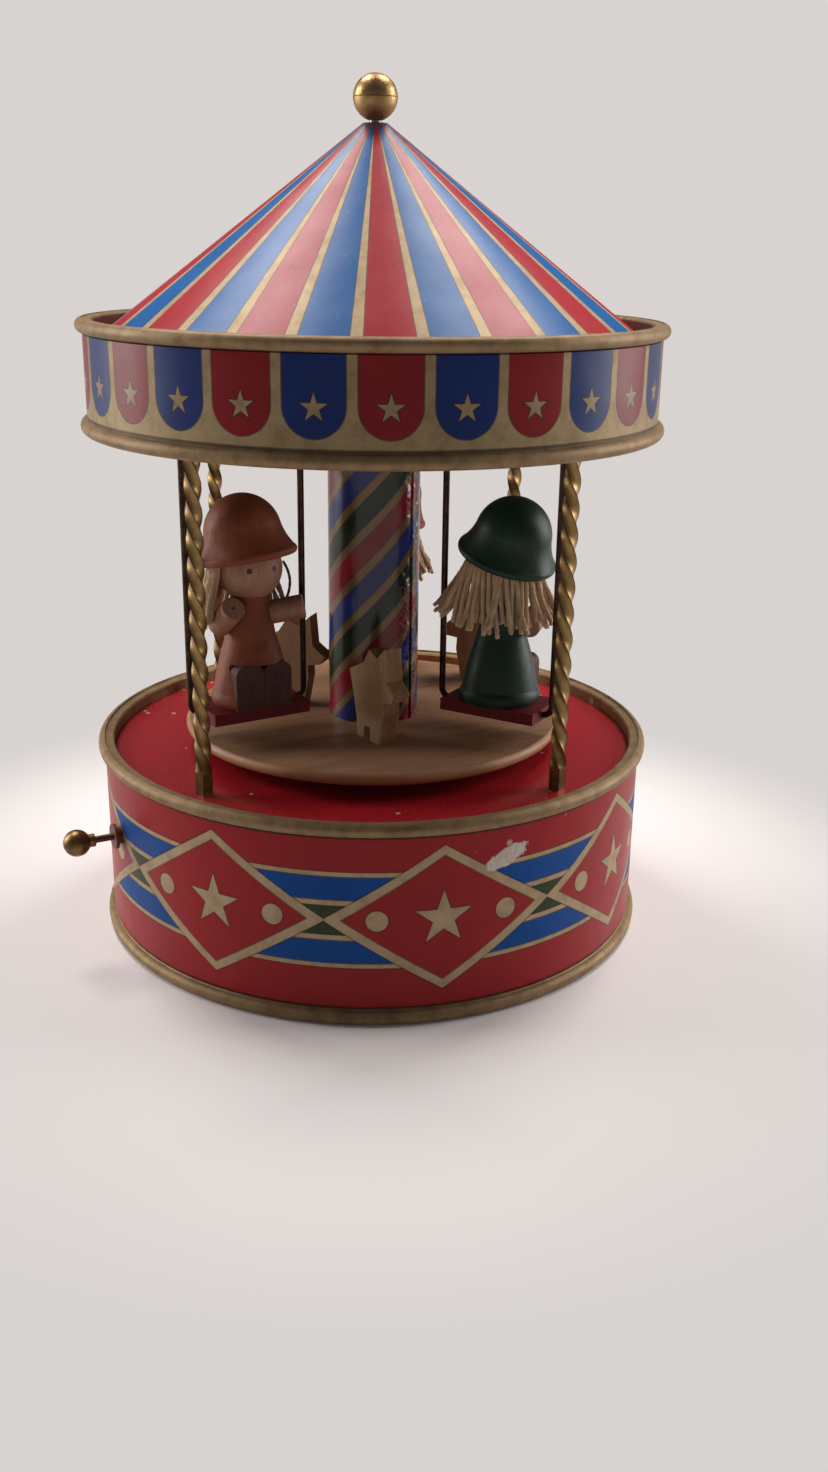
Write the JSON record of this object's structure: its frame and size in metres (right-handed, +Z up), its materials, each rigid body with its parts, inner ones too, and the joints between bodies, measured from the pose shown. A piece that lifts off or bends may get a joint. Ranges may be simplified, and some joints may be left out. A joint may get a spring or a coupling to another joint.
{
  "type": "wind-up carousel music toy",
  "caption": "Wind-up carousel: a tin drum with a musical movement turns a turntable with dolls on hanging swings under a striped cone roof on twisted columns.",
  "frame": {"origin": "centre of the base's foot, on the surface it stands on", "axes": "+Z up along the carousel's axis; the stop rod leaves the base along -X"},
  "size_m": [0.1636, 0.1502, 0.2172],
  "materials": {
    "litho_red": "lithographed tin, red ground with gold, blue and green figures",
    "deck_red": "gloss red enamel on tin",
    "plain_tin": "bare tinplate",
    "zinc_casting": "die cast",
    "steel_screws": "zinc plated",
    "spring_steel": "blued spring steel",
    "bracket_steel": "stamped steel",
    "brass": "machined brass",
    "red_bush": "red enamel",
    "column_bronze": "tarnished brass plate",
    "washer_steel": "stamped steel",
    "litho_band": "lithographed tin, gold ground with red and blue scallops",
    "litho_roof": "lithographed tin, red and blue stripes with gold lines",
    "finial_brass": "worn brass",
    "stud_steel": "turned steel",
    "turntable_wood": "lacquered hardwood, dusty",
    "litho_tube": "lithographed tin, slanting stripes",
    "carrier_steel": "stamped steel",
    "dog_wood": "natural sawn wood",
    "key_steel": "nickel plated",
    "stop_steel": "tarnished wire",
    "knob_brass": "dark brass",
    "wire_steel": "dark oxidised wire",
    "seat_red": "red painted wood",
    "face_wood": "pale lacquered wood",
    "arm_wood": "natural dowel",
    "shoe_brown": "brown painted wood",
    "hair_yarn": "cotton yarn",
    "terracotta_paint": "matt stained wood",
    "green_paint": "matt stained wood",
    "rose_paint": "matt stained wood"
  },
  "bodies": {
    "housing": {"base_drum": "litho_red", "base_top_plate": "deck_red", "base_bottom_plate": "plain_tin", "movement_bedplate": "zinc_casting", "movement_screws": "steel_screws", "music_comb": "spring_steel", "cylinder_brackets": "bracket_steel", "governor_bracket": "bracket_steel", "output_bush": "brass", "stop_grommet": "red_bush", "column_1": "column_bronze", "column_2": "column_bronze", "column_3": "column_bronze", "column_4": "column_bronze", "column_washers": "washer_steel", "canopy_band": "litho_band", "canopy_floor": "plain_tin", "canopy_roof": "litho_roof", "finial_ball": "finial_brass", "finial_stud": "stud_steel"},
    "rotor": {"spring_barrel": "brass", "mainspring": "spring_steel", "output_spindle": "stud_steel", "turntable": "turntable_wood", "center_column": "litho_tube", "swing_carrier": "carrier_steel", "dog_1": "dog_wood", "dog_2": "dog_wood", "dog_3": "dog_wood"},
    "key": {"winding_arbor": "stud_steel", "winding_key": "key_steel"},
    "stop": {"stop_rod": "stop_steel", "stop_knob": "knob_brass"},
    "cylinder": {"music_cylinder": "brass", "cylinder_gears": "brass"},
    "governor_fly": {"governor": "brass"},
    "swing_1": {"swing_wire_1": "wire_steel", "seat_1": "seat_red", "doll_body_1": "terracotta_paint", "doll_head_1": "face_wood", "doll_hat_1": "terracotta_paint", "doll_arms_1": "arm_wood", "doll_shoes_1": "shoe_brown", "doll_hair_1": "hair_yarn"},
    "swing_2": {"swing_wire_2": "wire_steel", "seat_2": "seat_red", "doll_body_2": "green_paint", "doll_head_2": "face_wood", "doll_hat_2": "green_paint", "doll_arms_2": "arm_wood", "doll_shoes_2": "shoe_brown", "doll_hair_2": "hair_yarn"},
    "swing_3": {"swing_wire_3": "wire_steel", "seat_3": "seat_red", "doll_body_3": "rose_paint", "doll_head_3": "face_wood", "doll_hat_3": "rose_paint", "doll_arms_3": "arm_wood", "doll_shoes_3": "shoe_brown", "doll_hair_3": "hair_yarn"}
  },
  "joints": [
    {"name": "carousel_spin", "type": "hinge", "parent": "housing", "child": "rotor", "pos_m": [0, 0, 0.054], "axis": [0, 0, 1], "continuous": true},
    {"name": "key_wind", "type": "hinge", "parent": "housing", "child": "key", "pos_m": [0, 0, 0.008], "axis": [0, 0, 1], "range_deg": [0, 1800]},
    {"name": "stop_push", "type": "slide", "parent": "housing", "child": "stop", "axis": [1, 0, 0], "range_m": [0, 0.0025]},
    {"name": "cylinder_spin", "type": "hinge", "parent": "housing", "child": "cylinder", "pos_m": [-0.029, 0, 0.0229], "axis": [-1, 0, 0], "continuous": true},
    {"name": "governor_spin", "type": "hinge", "parent": "housing", "child": "governor_fly", "pos_m": [-0.042, 0.0078, 0.025], "axis": [0, 0, 1], "continuous": true},
    {"name": "swing_1_sway", "type": "hinge", "parent": "rotor", "child": "swing_1", "pos_m": [-0.03794, -0.00219, 0.141], "axis": [-0.9983, -0.0576, 0], "range_deg": [-5, 5]},
    {"name": "swing_2_sway", "type": "hinge", "parent": "rotor", "child": "swing_2", "pos_m": [0.02031, -0.03212, 0.141], "axis": [0.5344, -0.8453, 0], "range_deg": [-5, 5]},
    {"name": "swing_3_sway", "type": "hinge", "parent": "rotor", "child": "swing_3", "pos_m": [0.02042, 0.03205, 0.141], "axis": [0.5373, 0.8434, 0], "range_deg": [-5, 5]}
  ],
  "couplings": [
    {"joint": "cylinder_spin", "follows": "carousel_spin", "ratio": 3},
    {"joint": "governor_spin", "follows": "carousel_spin", "ratio": 72}
  ]
}
